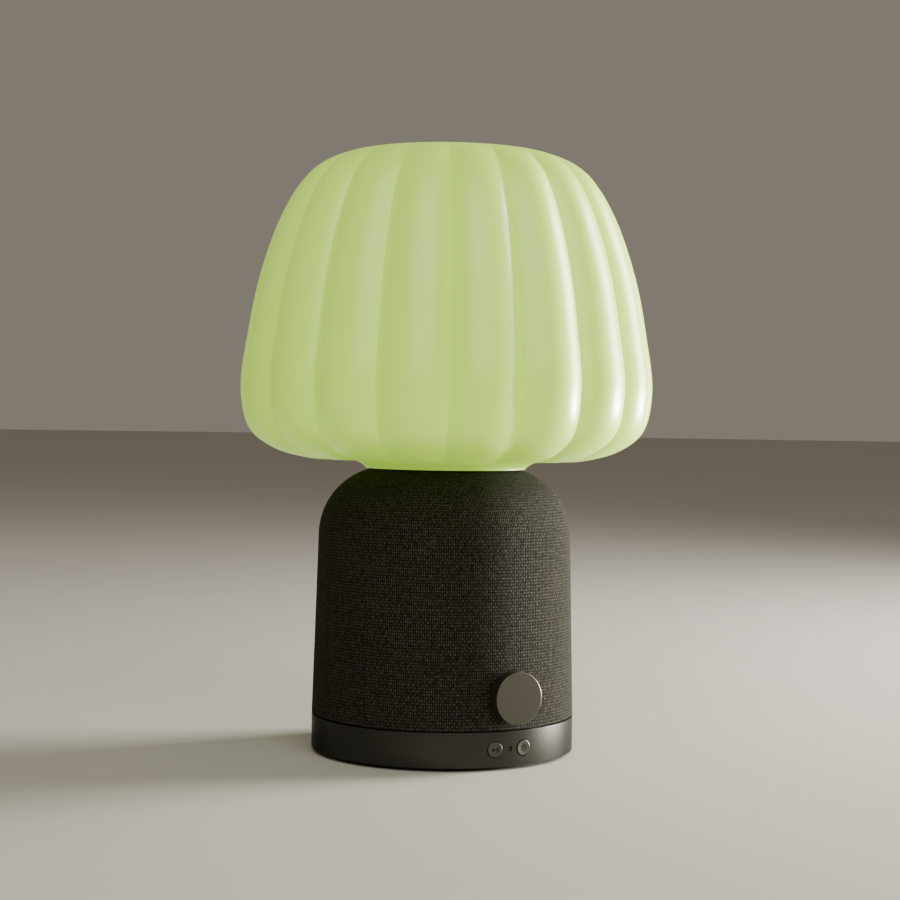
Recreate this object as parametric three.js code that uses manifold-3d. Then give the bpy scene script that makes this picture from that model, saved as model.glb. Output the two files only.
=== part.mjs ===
// Table lamp with a built-in wireless speaker: a ribbed opal glass shade twisted onto a cloth-covered,
// round-shouldered speaker base with a metal foot ring, a turn-and-push knob and two push buttons.
// Millimetres, +Z up, origin at the centre of the base on the table, controls facing -Y.
import * as THREE from "three";
import { mergeVertices } from "three/addons/utils/BufferGeometryUtils.js";
import Module from "manifold-3d";

const wasm = await Module();
wasm.setup();

// ---------------------------------------------------------------- driving dimensions
const GAP = 0.3; // clearance between neighbouring pieces
const BEYOND = 200; // a cutting tool's reach past everything

// Facets round a turned piece, from the widest ones to the smallest.
const FACETS = { ring: 48, wide: 32, medium: 20, small: 14, tiny: 8 };

const FOOT = { inner: 58, outer: 75, height: 2 };
const RING = { outer: 80, wall: 2.5, bottom: 2, top: 22.5, ledge: 70, ledgeHeight: 2, chamfer: 0.5 };
const RING_INNER = RING.outer - RING.wall;
const PLATE = { radius: RING_INNER - 0.4, bottom: FOOT.height + GAP, top: 5.3 };
const BALLAST = { radius: 60, bottom: PLATE.top + GAP, top: 11.6 };
const CONTROL_Z = (RING.bottom + RING.top) / 2;

// The cloth tapers from the ring up to the shoulder, which is one round arc up to the flat top.
const BODY = { bottom: 23.4, top: 77.1, shoulder: 42, shoulderZ: 131, cloth: 0.8, clothEnd: 42 };
const SHELL = { wall: 2.4, bottom: 23 };

const BUTTON = { angle: 6.9, radius: 4.6, hole: 5, proud: 0.3, flange: 5.8, travel: 0.6 };
const KNOB = { z: 42.6, radius: 15.2, face: 89.6, back: 81.4, travel: 0.5 };
const SHAFT = { radius: 3, bore: 3.4, bush: 4.5 };

const MAIN_BOARD = { x: 44, y: 34, z: 14.6, thick: 1.6 };
const POWER_BOARD = { x: 38, y: [8, 52], z: 27, thick: 1.6 };
const DECK = { radius: 72.5, bottom: 56.5, top: 59 };
const INLET = { half: 9.8, high: 5, front: 79, back: 63 };

const TUB = { bottom: DECK.top + GAP, shoulder: 136, top: 156.5, radius: 66, topRadius: 58, wall: 3 };
const BAFFLE = { front: 50, rear: 56, thick: 3 };
const BAFFLE_FACE = BAFFLE.front + GAP + BAFFLE.thick;
const WOOFER = { z: 96, flange: 36, screws: 33.3, hole: 31, cone: 23.5, coil: 12.8 };
const TWEETER = { z: 145, plate: 11.5, dome: 6.6 };
const RADIATOR = { z: 98, hole: 30, plate: 23.6 };

const SEAT = { floor: 172.2, thick: 2, boss: 40, wall: 2.5, flange: 43.5, flangeZ: 173.4, top: 183.6 };
const SEAT_SCREW = { count: 3, at: 24, first: 30 };
const SINK = { bottom: 175.4, plate: 182.6, top: 185.4, radius: 36.6, bore: 4, fins: 12 };
const LIGHT_BOARD = { radius: 31, bottom: SINK.top + GAP, top: 187.3 };
const DIFFUSER = { radius: 35.6, bottom: 186.6, straight: 204, wall: 2 };
const LUG = { count: 3, span: 24, tabSpan: 26, bottom: 176, top: 179, tabTop: 181.8 };
const COLLAR = { inner: 44, outer: 46.4, bottom: 173, top: 183.2 };
const SHADE = {
  neck: 51.3,
  neckBottom: 172,
  neckWall: 3,
  glass: 2.4,
  ribs: 18,
  depth: 0.062, // of the radius, at the creases
  crestFromFront: 0.8, // degrees from -Y to the nearest crest
};

// ---------------------------------------------------------------- materials
const finish = (color, roughness, metalness = 0) =>
  new THREE.MeshStandardMaterial({ color, roughness, metalness });
const MATERIAL = {
  glass: finish(0xb9d08a, 0.35),
  cloth: finish(0x2c2b25, 0.95),
  anodised: finish(0x45463f, 0.38, 0.75),
  black: finish(0x1c1c1a, 0.6),
  rubber: finish(0x141413, 0.85),
  steel: finish(0xa9abad, 0.35, 0.9),
  brass: finish(0xb08d3c, 0.35, 0.9),
  alloy: finish(0xc4c7c9, 0.4, 0.85),
  board: finish(0x1f5a3a, 0.5),
  whiteBoard: finish(0xe9e9e4, 0.45),
  frosted: finish(0xf4f3ea, 0.5),
  magnet: finish(0x2b2c2f, 0.5, 0.4),
  cone: finish(0x24231f, 0.8),
  copper: finish(0xb46a3c, 0.4, 0.8),
  wire: finish(0x7a1f1b, 0.6),
};

// ---------------------------------------------------------------- solids
// A closed three.js geometry as a manifold-3d solid that faces outwards.
function solid(geometry) {
  const bare = geometry.index ? geometry.toNonIndexed() : geometry.clone();
  bare.deleteAttribute("normal");
  bare.deleteAttribute("uv");
  const merged = mergeVertices(bare, 1e-4);
  const corners = [];
  for (let i = 0; i < merged.index.count; i += 3) {
    const [a, b, c] = [0, 1, 2].map((k) => merged.index.getX(i + k));
    if (a !== b && b !== c && c !== a) corners.push(a, b, c);
  }
  const make = (triVerts) =>
    new wasm.Manifold(
      new wasm.Mesh({
        numProp: 3,
        vertProperties: new Float32Array(merged.attributes.position.array),
        triVerts: new Uint32Array(triVerts),
      }),
    );
  const made = make(corners);
  return made.volume() > 0 ? made : make(corners.reverse());
}

const union = (...solids) => solids.reduce((sum, next) => sum.add(next));
const cut = (body, ...tools) => tools.reduce((left, tool) => left.subtract(tool), body);
const repeated = (count, make) => Array.from({ length: count }, (_, i) => make(i));
const vectors = (points) => points.map(([x, y]) => new THREE.Vector2(x, y));

// Turned about Z from [radius, height] points that start and end on the axis, or that go round a ring.
function turned(points, facets = FACETS.medium) {
  const closed = points[0][0] > 0 ? [...points, points[0]] : points;
  return solid(new THREE.LatheGeometry(vectors(closed), facets).rotateX(Math.PI / 2));
}

const disc = (radius, z0, z1, facets) =>
  turned([[0, z0], [radius, z0], [radius, z1], [0, z1]], facets);
const tube = (inner, outer, z0, z1, facets) =>
  turned([[inner, z0], [outer, z0], [outer, z1], [inner, z1]], facets);

function block([x0, x1], [y0, y1], [z0, z1]) {
  const box = new THREE.BoxGeometry(x1 - x0, y1 - y0, z1 - z0);
  return solid(box.translate((x0 + x1) / 2, (y0 + y1) / 2, (z0 + z1) / 2));
}

// A flat outline of [x, y] points, extruded from z0 to z1.
function prism(points, z0, z1) {
  const shape = new THREE.Shape(vectors(points));
  const geometry = new THREE.ExtrudeGeometry(shape, { depth: z1 - z0, bevelEnabled: false });
  return solid(geometry.translate(0, 0, z0));
}

// Points on a quarter circle from the horizontal up to the axis, squashed to a height.
const quarter = (radius, height, z, steps) =>
  repeated(steps + 1, (i) => {
    const turn = (i / steps) * (Math.PI / 2);
    return [radius * Math.cos(turn), z + height * Math.sin(turn)];
  });

// A round wire along a smooth curve through the points.
function wire(points, diameter, steps) {
  const path = new THREE.CatmullRomCurve3(points.map((p) => new THREE.Vector3(...p)), false, "centripetal");
  const sides = 6;
  const section = repeated(sides, (i) => {
    const turn = (i / sides) * 2 * Math.PI;
    return [(diameter / 2) * Math.cos(turn), (diameter / 2) * Math.sin(turn)];
  });
  const shape = new THREE.Shape(vectors(section));
  return solid(new THREE.ExtrudeGeometry(shape, { steps, extrudePath: path, bevelEnabled: false }));
}

// Turns a piece made along +Z so that it points forwards (-Y) or backwards (+Y), at height z.
const facingFront = (body, z) => body.rotate([90, 0, 0]).translate([0, 0, z]);
const facingRear = (body, z) => body.rotate([-90, 0, 0]).translate([0, 0, z]);
const atAngle = (body, degrees) => body.rotate([0, 0, degrees]);

// Copies of a piece that stands at some radius along +X, spread evenly round Z.
const spread = (body, count, radius, first = 0) =>
  repeated(count, (i) => atAngle(body.translate([radius, 0, 0]), first + (360 / count) * i));

const model = new THREE.Group();

function part(name, body, material) {
  const { vertProperties, triVerts } = body.getMesh();
  const geometry = new THREE.BufferGeometry();
  geometry.setAttribute("position", new THREE.BufferAttribute(vertProperties, 3));
  geometry.setIndex(new THREE.BufferAttribute(triVerts, 1));
  geometry.computeVertexNormals();
  const node = new THREE.Mesh(geometry, material);
  node.name = name;
  model.add(node);
}

// A screw with a slotted pan head on the plane z = 0 and its shank below.
function screw(head, shank) {
  const slot = { width: 0.8, depth: 0.45 * head.height };
  const body = union(
    disc(head.radius, 0, head.height, FACETS.tiny),
    disc(shank.radius, -shank.length, head.height / 2, FACETS.tiny),
  );
  const reach = [-0.6 * head.radius, 0.6 * head.radius];
  const width = [-slot.width / 2, slot.width / 2];
  return cut(body, block(reach, width, [head.height - slot.depth, BEYOND]));
}

// ---------------------------------------------------------------- foot, base plate, ballast and ring
const BASE_SCREW = {
  at: 71.5,
  first: 45,
  head: { radius: 3.4, height: 1.9 },
  shank: { radius: 1.6, length: 12 },
};
const BASE_SCREW_Z = PLATE.bottom + 0.1;
const BOSS = { radius: 4, pilot: 2, roof: 4, recess: 3.9, recessDepth: 2.2 };
const POST = { x: 36, y: 28, radius: 3, clearance: 0.6 };
const postSpots = [-1, 1].flatMap((sx) => [-1, 1].map((sy) => [sx * POST.x, sy * POST.y, 0]));

function basePlate() {
  const post = disc(POST.radius, PLATE.bottom, MAIN_BOARD.z - GAP, FACETS.tiny);
  const screwHole = union(
    disc(BOSS.recess, 0, PLATE.bottom + BOSS.recessDepth, FACETS.tiny),
    disc(BOSS.pilot, 0, BEYOND, FACETS.tiny),
  );
  const plate = union(
    disc(PLATE.radius, PLATE.bottom, PLATE.top, FACETS.wide),
    ...postSpots.map((spot) => post.translate(spot)),
  );
  return cut(plate, ...spread(screwHole, 4, BASE_SCREW.at, BASE_SCREW.first));
}

function ballast() {
  const hole = disc(POST.radius + POST.clearance, 0, BEYOND, FACETS.tiny);
  const weight = disc(BALLAST.radius, BALLAST.bottom, BALLAST.top);
  return cut(weight, ...postSpots.map((spot) => hole.translate(spot)));
}

function footRing() {
  const ring = turned(
    [
      [RING_INNER, RING.bottom],
      [RING.outer - RING.chamfer, RING.bottom],
      [RING.outer, RING.bottom + RING.chamfer],
      [RING.outer, RING.top - RING.chamfer],
      [RING.outer - RING.chamfer, RING.top],
      [RING.ledge, RING.top],
      [RING.ledge, RING.top - RING.ledgeHeight],
      [RING_INNER, RING.top - RING.ledgeHeight],
    ],
    FACETS.ring,
  );
  const boss = disc(BOSS.radius, PLATE.top + GAP, RING.top - RING.ledgeHeight / 2, FACETS.tiny);
  const pilot = disc(BOSS.pilot, 0, RING.top - BOSS.roof, FACETS.tiny);
  const radialHole = (radius, angle) =>
    atAngle(facingFront(disc(radius, RING.ledge + 2, BEYOND, FACETS.small), CONTROL_Z), angle);
  const inletHole = block(
    [-INLET.half - GAP, INLET.half + GAP],
    [RING.ledge, BEYOND],
    [CONTROL_Z - INLET.high - GAP, CONTROL_Z + INLET.high + GAP],
  );
  return cut(
    union(ring, ...spread(boss, 4, BASE_SCREW.at, BASE_SCREW.first)),
    ...spread(pilot, 4, BASE_SCREW.at, BASE_SCREW.first),
    radialHole(BUTTON.hole, -BUTTON.angle),
    radialHole(BUTTON.hole, BUTTON.angle),
    radialHole(LIGHT_PIPE.radius + 0.4, 0),
    inletHole,
  );
}

function foot() {
  part("foot_pad", tube(FOOT.inner, FOOT.outer, 0, FOOT.height, FACETS.wide), MATERIAL.rubber);
  part("base_plate", basePlate(), MATERIAL.black);
  part("ballast_disc", ballast(), MATERIAL.steel);
  part("base_ring", footRing(), MATERIAL.anodised);
  const upward = screw(BASE_SCREW.head, BASE_SCREW.shank).rotate([180, 0, 0]);
  const placed = upward.translate([0, 0, BASE_SCREW_Z + BASE_SCREW.head.height]);
  spread(placed, 4, BASE_SCREW.at, BASE_SCREW.first).forEach((body, i) =>
    part(`base_screw_${i + 1}`, body, MATERIAL.steel),
  );
}

// ---------------------------------------------------------------- buttons, status light and their board
const LIGHT_PIPE = { radius: 1.3, from: 67.4, sunk: 0.6 };
const BUTTON_FACE = RING.outer + BUTTON.proud;
const BUTTON_FLANGE = { from: 75.3, to: 76.7 };
const STEM = { radius: 2, end: 72.8 };
const SWITCH = { half: 3, from: 68, to: 71, tip: 1.7 };
const CONTROL_BOARD = { x: 15, z: 6, from: 64.6, to: 66.2 };

const buttonPlace = (body, angle) => atAngle(facingFront(body, CONTROL_Z), angle);

function buttonBlank() {
  const bevel = 0.4;
  return turned(
    [
      [0, STEM.end],
      [STEM.radius, STEM.end],
      [STEM.radius, BUTTON_FLANGE.from],
      [BUTTON.flange, BUTTON_FLANGE.from],
      [BUTTON.flange, BUTTON_FLANGE.to],
      [BUTTON.radius, BUTTON_FLANGE.to],
      [BUTTON.radius, BUTTON_FACE - bevel],
      [BUTTON.radius - bevel, BUTTON_FACE],
      [0, BUTTON_FACE],
    ],
    FACETS.small,
  );
}

// The play and pause sign: a triangle and two bars, sunk in the face.
function playSign() {
  const [height, floor] = [1.2, BUTTON_FACE - 0.3];
  const bar = (x) => block([x, x + 0.5], [-height, height], [floor, BEYOND]);
  return union(prism([[-1.9, -height], [0.3, 0], [-1.9, height]], floor, BEYOND), bar(0.7), bar(1.6));
}

// A ring of dots round one in the middle, sunk in the face.
function modeSign() {
  const dot = disc(0.45, BUTTON_FACE - 0.4, BEYOND, 6);
  return union(dot, ...spread(dot, 6, 1.45, 30));
}

function buttons() {
  part("play_button", buttonPlace(cut(buttonBlank(), playSign()), -BUTTON.angle), MATERIAL.anodised);
  part("mode_button", buttonPlace(cut(buttonBlank(), modeSign()), BUTTON.angle), MATERIAL.anodised);

  const side = [-SWITCH.half, SWITCH.half];
  const tip = disc(SWITCH.tip, SWITCH.from, STEM.end - BUTTON.travel - GAP, FACETS.tiny);
  const tactSwitch = union(block(side, side, [SWITCH.from, SWITCH.to]), tip);
  part("play_switch", buttonPlace(tactSwitch, -BUTTON.angle), MATERIAL.black);
  part("mode_switch", buttonPlace(tactSwitch, BUTTON.angle), MATERIAL.black);

  const board = union(
    block(
      [-CONTROL_BOARD.x, CONTROL_BOARD.x],
      [-CONTROL_BOARD.z, CONTROL_BOARD.z],
      [CONTROL_BOARD.from, CONTROL_BOARD.to],
    ),
    block([-1, 1], [-1, 1], [CONTROL_BOARD.from, CONTROL_BOARD.to + 0.8]),
  );
  part("control_board", facingFront(board, CONTROL_Z), MATERIAL.board);
  const pipe = disc(LIGHT_PIPE.radius, LIGHT_PIPE.from, RING.outer - LIGHT_PIPE.sunk, FACETS.tiny);
  part("status_light_pipe", facingFront(pipe, CONTROL_Z), MATERIAL.frosted);
}

// ---------------------------------------------------------------- electronics in the foot
// A component that stands on a board whose top is at z: a box, or a can at [x, y].
const boxed = (x, y, z, height) => block(x, y, [z - 1, z + height]);
const can = (radius, [x, y], z, height) =>
  disc(radius, z - 1, z + height, FACETS.tiny).translate([x, y, 0]);

function mainBoard() {
  const z = MAIN_BOARD.z + MAIN_BOARD.thick;
  return union(
    block([-MAIN_BOARD.x, MAIN_BOARD.x], [-MAIN_BOARD.y, MAIN_BOARD.y], [MAIN_BOARD.z, z]),
    boxed([-12, 8], [-14, 6], z, 2.4), // amplifier
    boxed([-32, -22], [-8, 8], z, 3.9), // inductors
    boxed([18, 34], [-24, -16], z, 5.4), // connector
    boxed([-18, 2], [22, 30], z, 5.9), // connector
    can(4, [18, 22], z, 7.4),
    can(4, [28, 20], z, 7.4),
    can(3.2, [-26, -22], z, 6.4),
  );
}

function powerBoard() {
  const z = POWER_BOARD.z + POWER_BOARD.thick;
  return union(
    block([-POWER_BOARD.x, POWER_BOARD.x], POWER_BOARD.y, [POWER_BOARD.z, z]),
    boxed([-14, 10], [18, 40], z, 19.4), // transformer core
    boxed([-17, 13], [23, 35], z, 14.4), // transformer winding
    boxed([18, 24], [16, 44], z, 16.4), // heat spreader
    can(6, [-26, 34], z, 21.4),
    can(5, [-26, 18], z, 16.4),
    can(4, [31, 40], z, 11.4),
  );
}

function mainsInlet() {
  const socket = { depth: 12, pinSpacing: 4.3, lobe: 3.9, waist: 3.4, pin: 1.2, pinSunk: 3 };
  const floor = INLET.front - socket.depth;
  const bothSides = (body) => [-1, 1].map((side) => body.translate([side * socket.pinSpacing, 0, 0]));
  const shell = block([-INLET.half, INLET.half], [-INLET.high, INLET.high], [INLET.back, INLET.front]);
  const waist = block(
    [-socket.pinSpacing, socket.pinSpacing],
    [-socket.waist, socket.waist],
    [floor, BEYOND],
  );
  const pin = disc(socket.pin, floor - 1, INLET.front - socket.pinSunk, FACETS.tiny);
  return union(
    cut(shell, ...bothSides(disc(socket.lobe, floor, BEYOND, FACETS.tiny)), waist),
    ...bothSides(pin),
  );
}

function electronics() {
  part("main_board", mainBoard(), MATERIAL.board);
  const radio = { x: [16, 36], y: [-10, 8], height: 2.7 };
  const radioZ = MAIN_BOARD.z + MAIN_BOARD.thick + GAP;
  part("radio_module", block(radio.x, radio.y, [radioZ, radioZ + radio.height]), MATERIAL.steel);
  part("power_board", powerBoard(), MATERIAL.board);
  part("mains_inlet", facingRear(mainsInlet(), CONTROL_Z), MATERIAL.black);
}

// ---------------------------------------------------------------- deck that carries the speaker box
const LEG = { radius: 3.2, at: 66.5, angles: [12, 168, 205, 335] };
const HANGER = { radius: 2.5, spots: [[-34, 12], [34, 12], [-34, 48], [34, 48]] };
const LED_LEAD = { diameter: 2.2, column: 70.2, notch: 4 };
const WOOFER_LEAD = { diameter: 2, rise: [30, 40], deckHole: 3.5, boxHole: 2 };

function deck() {
  const leg = disc(LEG.radius, PLATE.top + GAP, DECK.top, FACETS.tiny).translate([LEG.at, 0, 0]);
  const hangerFoot = POWER_BOARD.z + POWER_BOARD.thick + GAP;
  const hanger = disc(HANGER.radius, hangerFoot, DECK.top, FACETS.tiny);
  const notch = block(
    [-LED_LEAD.notch, LED_LEAD.notch],
    [LED_LEAD.column - LED_LEAD.notch, BEYOND],
    [0, BEYOND],
  );
  const hole = disc(WOOFER_LEAD.deckHole, 0, BEYOND, FACETS.tiny).translate([...WOOFER_LEAD.rise, 0]);
  part(
    "deck",
    union(
      cut(disc(DECK.radius, DECK.bottom, DECK.top, FACETS.wide), notch, hole),
      ...LEG.angles.map((angle) => atAngle(leg, angle)),
      ...HANGER.spots.map(([x, y]) => hanger.translate([x, y, 0])),
    ),
    MATERIAL.black,
  );
}

// ---------------------------------------------------------------- grille shell and its cloth
const bodyRadius = (z) =>
  RING.outer + ((BODY.top - RING.outer) * (z - RING.top)) / (BODY.shoulderZ - RING.top);

// [radius, height] points of the cloth's outer surface moved inwards by inset, up to the radius end.
function bodyOutline(inset, bottom, end) {
  const steps = 6;
  const arc = BODY.shoulder - inset;
  const centre = BODY.top - BODY.shoulder;
  const last = end > centre ? Math.acos((end - centre) / arc) : Math.PI / 2;
  const shoulder = repeated(steps + 1, (i) => {
    const turn = (last * i) / steps;
    return [centre + arc * Math.cos(turn), BODY.shoulderZ + arc * Math.sin(turn)];
  });
  return [[bodyRadius(bottom) - inset, bottom], ...shoulder];
}

const knobHole = (radius) => facingFront(disc(radius, RING.ledge - 10, BEYOND, FACETS.small), KNOB.z);

// Upright slots in front of the drivers and behind the radiator, in rows of five.
function slots() {
  const slot = { width: 7, height: 38, pitch: 11, depth: 50 };
  const row = (z, facing) =>
    [-2, -1, 0, 1, 2].map((column) => {
      const bar = block([-slot.width / 2, slot.width / 2], [-BEYOND, -slot.depth], [z, z + slot.height]);
      return atAngle(bar, facing + THREE.MathUtils.radToDeg((column * slot.pitch) / bodyRadius(z)));
    });
  return [...row(66, 0), ...row(109, 0), ...row(79, 180)];
}

function grilleShell() {
  const outside = bodyOutline(BODY.cloth + GAP, SHELL.bottom, 0);
  const inside = bodyOutline(BODY.cloth + GAP + SHELL.wall, SHELL.bottom, 0).reverse();
  const shell = turned(
    [...outside, [0, outside.at(-1)[1]], [0, inside[0][1]], ...inside],
    FACETS.wide,
  );
  const leadHole = disc(6, BODY.shoulderZ, BEYOND, FACETS.small);
  const pilot = disc(1.6, BODY.shoulderZ, BEYOND, FACETS.tiny);
  const pilots = spread(pilot, SEAT_SCREW.count, SEAT_SCREW.at, SEAT_SCREW.first);
  return cut(shell, ...slots(), knobHole(SHAFT.bush + GAP), leadHole, ...pilots);
}

function clothSleeve() {
  const outside = bodyOutline(0, BODY.bottom, BODY.clothEnd);
  const inside = bodyOutline(BODY.cloth, BODY.bottom, BODY.clothEnd).reverse();
  return cut(turned([...outside, ...inside], FACETS.wide), knobHole(SHAFT.bush + 2 * GAP));
}

// ---------------------------------------------------------------- knob, shaft and rotary encoder
function knobCap() {
  const cap = { front: 2.2, rim: 1.6, hub: 6, hubBack: 84, boreEnd: 88, bevel: 0.6 };
  return turned(
    [
      [0, cap.boreEnd],
      [SHAFT.bore, cap.boreEnd],
      [SHAFT.bore, cap.hubBack],
      [cap.hub, cap.hubBack],
      [cap.hub, KNOB.face - cap.front],
      [KNOB.radius - cap.rim, KNOB.face - cap.front],
      [KNOB.radius - cap.rim, KNOB.back],
      [KNOB.radius, KNOB.back],
      [KNOB.radius, KNOB.face - cap.bevel],
      [KNOB.radius - cap.bevel, KNOB.face],
      [0, KNOB.face],
    ],
    FACETS.wide,
  );
}

// A block with half sizes x and z between two distances from the axis, bored for the shaft.
const bored = (x, [z0, z1], [from, to], boreRadius, boreFrom = 0) =>
  cut(block([-x, x], [z0, z1], [from, to]), disc(boreRadius, boreFrom, BEYOND, FACETS.small));

function knob() {
  const forward = (body) => facingFront(body, KNOB.z);
  const body = { half: 6.5, from: 66, to: 73 };
  const board = { half: 10, low: -12, from: 64.1, to: 65.7 };
  const press = { half: 5, from: 55.4, to: 63.8, floor: 57.2 };
  const plunger = { from: press.floor + KNOB.travel + 0.2, to: 61.2 };
  const nut = { hex: 6.4, from: 80.2, to: 82.2 };
  const shaftTo = 87.6;

  part("knob_cap", forward(knobCap()), MATERIAL.anodised);
  const flat = block([-5, 5], [SHAFT.radius - 0.5, 5], [83, BEYOND]);
  const shaft = cut(disc(SHAFT.radius, plunger.to + GAP, shaftTo, FACETS.small), flat);
  part("knob_shaft", forward(shaft), MATERIAL.alloy);
  const bush = tube(SHAFT.bore, SHAFT.bush, body.to + GAP, 82.9, FACETS.small);
  part("encoder_bush", forward(bush), MATERIAL.brass);
  const nutBore = disc(SHAFT.bush + 0.4, 0, BEYOND, FACETS.small);
  part("bush_nut", forward(cut(disc(nut.hex, nut.from, nut.to, 6), nutBore)), MATERIAL.steel);

  const range = [-body.half, body.half];
  part("encoder_body", forward(bored(body.half, range, [body.from, body.to], SHAFT.bore)), MATERIAL.steel);
  const boardSolid = bored(board.half, [board.low, board.half], [board.from, board.to], SHAFT.bore + GAP);
  part("encoder_board", forward(boardSolid), MATERIAL.board);
  const pressRange = [-press.half, press.half];
  const pressSolid = bored(press.half, pressRange, [press.from, press.to], SHAFT.bore + GAP, press.floor);
  part("push_switch", forward(pressSolid), MATERIAL.black);
  part("push_plunger", forward(disc(SHAFT.radius, plunger.from, plunger.to, FACETS.small)), MATERIAL.frosted);
}

// ---------------------------------------------------------------- sealed speaker box
// The box's outline where a plane cuts it at distance y from the axis: [x, height] points.
function boxOutline(y) {
  const half = (radius) => Math.sqrt(radius ** 2 - y ** 2);
  const low = TUB.bottom + 0.4;
  const wide = half(TUB.radius);
  const narrow = half(TUB.topRadius);
  const right = [[wide, low], [wide, TUB.shoulder], [narrow, TUB.top]];
  return [...right, ...right.map(([x, z]) => [-x, z]).reverse()];
}

function enclosureTub() {
  const body = (inset) =>
    turned([
      [0, TUB.bottom + inset],
      [TUB.radius - inset, TUB.bottom + inset],
      [TUB.radius - inset, TUB.shoulder - inset / 3],
      [TUB.topRadius - inset, TUB.top - inset],
      [0, TUB.top - inset],
    ]);
  const everywhere = [-BEYOND, BEYOND];
  const leadHole = disc(WOOFER_LEAD.boxHole, 0, BAFFLE.front + 20, FACETS.tiny);
  return cut(
    body(0),
    body(TUB.wall),
    block(everywhere, [-BEYOND, -BAFFLE.front], everywhere),
    block(everywhere, [BAFFLE.rear, BEYOND], everywhere),
    leadHole.translate([...WOOFER_LEAD.rise, 0]),
  );
}

const wooferSpots = (body) =>
  spread(body, 4, WOOFER.screws, 45).map((placed) => facingFront(placed, WOOFER.z));

function speakerBox() {
  part("enclosure_tub", enclosureTub(), MATERIAL.black);

  const frontPlate = prism(boxOutline(BAFFLE.front), BAFFLE.front + GAP, BAFFLE_FACE);
  const front = cut(
    facingFront(frontPlate, 0),
    facingFront(disc(WOOFER.hole, 0, BEYOND), WOOFER.z),
    facingFront(disc(8, 0, BEYOND), TWEETER.z),
    ...wooferSpots(disc(1.6, 0, BEYOND, FACETS.tiny)),
  );
  part("front_baffle", front, MATERIAL.black);

  const upsideDown = boxOutline(BAFFLE.rear).map(([x, z]) => [x, -z]);
  const rearPlate = prism(upsideDown, BAFFLE.rear + GAP, BAFFLE.rear + GAP + BAFFLE.thick);
  const radiatorHole = facingRear(disc(RADIATOR.hole, 0, BEYOND), RADIATOR.z);
  part("rear_baffle", cut(facingRear(rearPlate, 0), radiatorHole), MATERIAL.black);
}

// ---------------------------------------------------------------- woofer
const FLANGE = { back: BAFFLE_FACE + GAP, front: BAFFLE_FACE + GAP + 2.2 };
const MOTOR = { top: 33, bottom: 14, radius: 23, bore: [11.6, 13.6], boreFloor: 17 };

// A rubber half-roll between two radii, with flat lips that lie at the height seat.
function halfRoll(inner, outer, seat) {
  const [lip, thick, steps] = [1.6, 0.8, 3];
  const middle = (inner + outer) / 2;
  const reach = (outer - inner) / 2 - lip;
  const arc = (radius, lift) =>
    repeated(steps + 1, (i) => {
      const turn = Math.PI * (1 - i / steps);
      return [middle + radius * Math.cos(turn), seat + lift + radius * Math.sin(turn)];
    });
  return turned([
    [inner, seat],
    [inner, seat + thick],
    ...arc(reach + thick / 2, thick),
    [outer, seat + thick],
    [outer, seat],
    ...arc(reach - thick / 2, 0).reverse(),
  ]);
}

function wooferBasket() {
  const collar = { inner: 14.2, lower: 18.6, thick: 1.5 };
  const basket = turned([
    [29, FLANGE.front],
    [29, FLANGE.back - 1],
    [collar.lower - 1.1, MOTOR.top + collar.thick],
    [collar.inner, MOTOR.top + collar.thick],
    [collar.inner, MOTOR.top],
    [collar.lower, MOTOR.top],
    [30.6, FLANGE.back - 1.6],
    [30.6, FLANGE.back],
    [WOOFER.flange, FLANGE.back],
    [WOOFER.flange, FLANGE.front],
  ]);
  const window = block([0, 22], [-8, 8], [MOTOR.top + 4, FLANGE.back - 4]);
  const hole = disc(1.9, 0, BEYOND, FACETS.tiny);
  return cut(basket, ...spread(window, 4, 18), ...spread(hole, 4, WOOFER.screws, 45));
}

function wooferMagnet() {
  const top = MOTOR.top - GAP;
  const [gapInner, gapOuter] = MOTOR.bore;
  return turned([
    [0, top],
    [gapInner, top],
    [gapInner, MOTOR.boreFloor],
    [gapOuter, MOTOR.boreFloor],
    [gapOuter, top],
    [MOTOR.radius, top],
    [MOTOR.radius, MOTOR.bottom],
    [0, MOTOR.bottom],
  ]);
}

// A folded cloth ring between the motor and the voice coil.
function wooferSpider() {
  const [thick, z] = [0.7, 41.5];
  const folds = [13.7, 15.5, 17.3, 19.1, 20.5].map((radius, i) => [radius, z + (i % 2)]);
  return turned([...folds, ...folds.map(([radius, height]) => [radius, height + thick]).reverse()]);
}

function woofer() {
  const forward = (body) => facingFront(body, WOOFER.z);
  const rim = FLANGE.front + GAP;
  const neck = { radius: WOOFER.coil + 0.4, z: 46, wall: 0.9 };
  const cap = { radius: neck.radius + 0.2, z: neck.z + neck.wall + 0.5, edge: 0.8, height: 3.6 };
  part("woofer_basket", forward(wooferBasket()), MATERIAL.black);
  part("woofer_magnet", forward(wooferMagnet()), MATERIAL.magnet);
  part("woofer_surround", forward(halfRoll(WOOFER.cone + 0.4, 30.5, rim)), MATERIAL.rubber);
  part("woofer_spider", forward(wooferSpider()), MATERIAL.cloth);

  const cone = turned([
    [neck.radius, neck.z],
    [WOOFER.cone, rim],
    [WOOFER.cone, rim + neck.wall],
    [neck.radius, neck.z + neck.wall],
  ]);
  part("woofer_cone", forward(cone), MATERIAL.cone);
  part("voice_coil", forward(tube(WOOFER.coil - 0.7, WOOFER.coil, 20, neck.z + 0.4)), MATERIAL.copper);
  const crown = quarter(cap.radius, cap.height, cap.z + cap.edge, 5);
  part("dust_cap", forward(turned([[0, cap.z], [cap.radius, cap.z], ...crown])), MATERIAL.cone);

  const fixing = screw({ radius: 2.3, height: 1.3 }, { radius: 1.2, length: 6 }).translate([0, 0, rim]);
  wooferSpots(fixing).forEach((body, i) => part(`woofer_screw_${i + 1}`, body, MATERIAL.steel));
}

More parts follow.
